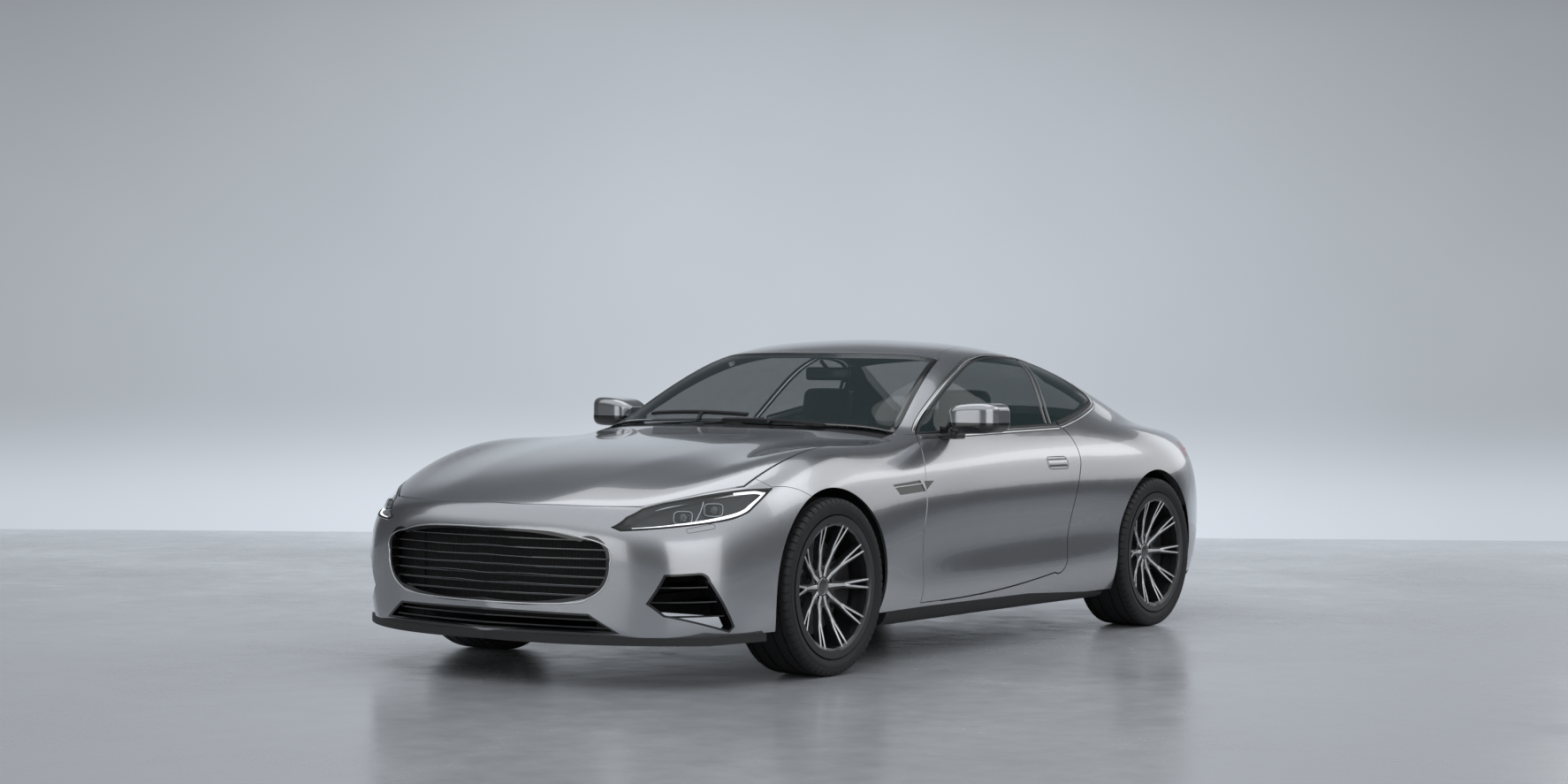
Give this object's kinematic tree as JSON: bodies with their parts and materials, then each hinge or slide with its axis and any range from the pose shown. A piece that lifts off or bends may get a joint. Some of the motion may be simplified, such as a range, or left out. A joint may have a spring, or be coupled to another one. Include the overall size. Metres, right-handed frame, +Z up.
{
  "type": "coupe car",
  "caption": "Two-door fastback coupe with a long bonnet, an open grille, opening doors and lids, steered front wheels and a furnished cabin.",
  "frame": {"origin": "on the ground, under the middle of the car's length and width", "axes": "+X rearwards, +Y to the car's right, +Z up"},
  "size_m": [4.7335, 2.188, 1.3681],
  "materials": {
    "paint": "silver metallic under clear coat",
    "black_trim": "gloss black",
    "dark_plastic": "fine grain",
    "window_glass": "tinted",
    "lens": "clear",
    "lamp": "dark reflector",
    "tail_lens": "red",
    "tyre_rubber": "matt",
    "wheel_alloy": "machined faces, dark pockets",
    "brake_iron": "turned",
    "caliper": "dark",
    "structure": "primer and sealer",
    "engine_cast": "as cast",
    "seat_leather": "grained",
    "exhaust_steel": "polished"
  },
  "bodies": {
    "body": {"body_side_left": "paint", "body_side_right": "paint", "console": "dark_plastic", "cowl": "black_trim", "dashboard": "dark_plastic", "door_hinges": "structure", "engine": "engine_cast", "exhaust": "exhaust_steel", "front_bumper": "paint", "front_seat_left": "seat_leather", "front_seat_right": "seat_leather", "front_splitter": "black_trim", "front_subframe": "structure", "front_wheelhouses": "dark_plastic", "front_wing_left": "paint", "front_wing_right": "paint", "grille": "black_trim", "headlamp_lenses": "lens", "headlamps": "lamp", "lid_hinges": "structure", "lower_grille": "black_trim", "quarter_windows": "window_glass", "radiator": "dark_plastic", "rear_bumper": "paint", "rear_diffuser": "black_trim", "rear_hubs": "caliper", "rear_seats": "seat_leather", "rear_subframe": "structure", "rear_wheelhouses": "dark_plastic", "rear_window": "window_glass", "roof": "paint", "side_blades": "black_trim", "side_vents": "black_trim", "steering_wheel": "dark_plastic", "tail_lamps": "tail_lens", "underbody": "structure", "windscreen": "window_glass", "wipers": "black_trim"},
    "door_left": {"door_left": "paint", "door_glass_left": "window_glass", "mirror_left": "paint"},
    "door_right": {"door_right": "paint", "door_glass_right": "window_glass", "mirror_right": "paint"},
    "bonnet": {"bonnet": "paint"},
    "boot_lid": {"boot_lid": "paint"},
    "knuckle_front_left": {"front_knuckle_left": "caliper"},
    "knuckle_front_right": {"front_knuckle_right": "caliper"},
    "wheel_front_left": {"tyre_front_left": "tyre_rubber", "rim_front_left": "wheel_alloy", "brake_disc_front_left": "brake_iron"},
    "wheel_front_right": {"tyre_front_right": "tyre_rubber", "rim_front_right": "wheel_alloy", "brake_disc_front_right": "brake_iron"},
    "wheel_rear_left": {"tyre_rear_left": "tyre_rubber", "rim_rear_left": "wheel_alloy", "brake_disc_rear_left": "brake_iron"},
    "wheel_rear_right": {"tyre_rear_right": "tyre_rubber", "rim_rear_right": "wheel_alloy", "brake_disc_rear_right": "brake_iron"}
  },
  "joints": [
    {"name": "door_left_hinge", "type": "hinge", "parent": "body", "child": "door_left", "pos_m": [-0.45, -0.84, 0.6], "axis": [0, 0, -1], "range_deg": [0, 65]},
    {"name": "door_right_hinge", "type": "hinge", "parent": "body", "child": "door_right", "pos_m": [-0.45, 0.84, 0.6], "axis": [0, 0, 1], "range_deg": [0, 65]},
    {"name": "bonnet_hinge", "type": "hinge", "parent": "body", "child": "bonnet", "pos_m": [-0.85, 0, 0.885], "axis": [0, 1, 0], "range_deg": [0, 50]},
    {"name": "boot_lid_hinge", "type": "hinge", "parent": "body", "child": "boot_lid", "pos_m": [1.88, 0, 0.925], "axis": [0, -1, 0], "range_deg": [0, 70]},
    {"name": "steer_left", "type": "hinge", "parent": "body", "child": "knuckle_front_left", "pos_m": [-1.325, -0.765, 0.357], "axis": [0, 0, 1], "range_deg": [-32, 32]},
    {"name": "steer_right", "type": "hinge", "parent": "body", "child": "knuckle_front_right", "pos_m": [-1.325, 0.765, 0.357], "axis": [0, 0, 1], "range_deg": [-32, 32]},
    {"name": "spin_front_left", "type": "hinge", "parent": "knuckle_front_left", "child": "wheel_front_left", "pos_m": [-1.325, -0.833, 0.357], "axis": [0, 1, 0], "continuous": true},
    {"name": "spin_front_right", "type": "hinge", "parent": "knuckle_front_right", "child": "wheel_front_right", "pos_m": [-1.325, 0.833, 0.357], "axis": [0, 1, 0], "continuous": true},
    {"name": "spin_rear_left", "type": "hinge", "parent": "body", "child": "wheel_rear_left", "pos_m": [1.475, -0.833, 0.357], "axis": [0, 1, 0], "continuous": true},
    {"name": "spin_rear_right", "type": "hinge", "parent": "body", "child": "wheel_rear_right", "pos_m": [1.475, 0.833, 0.357], "axis": [0, 1, 0], "continuous": true}
  ],
  "couplings": [
    {"joint": "steer_right", "follows": "steer_left", "ratio": 1}
  ]
}
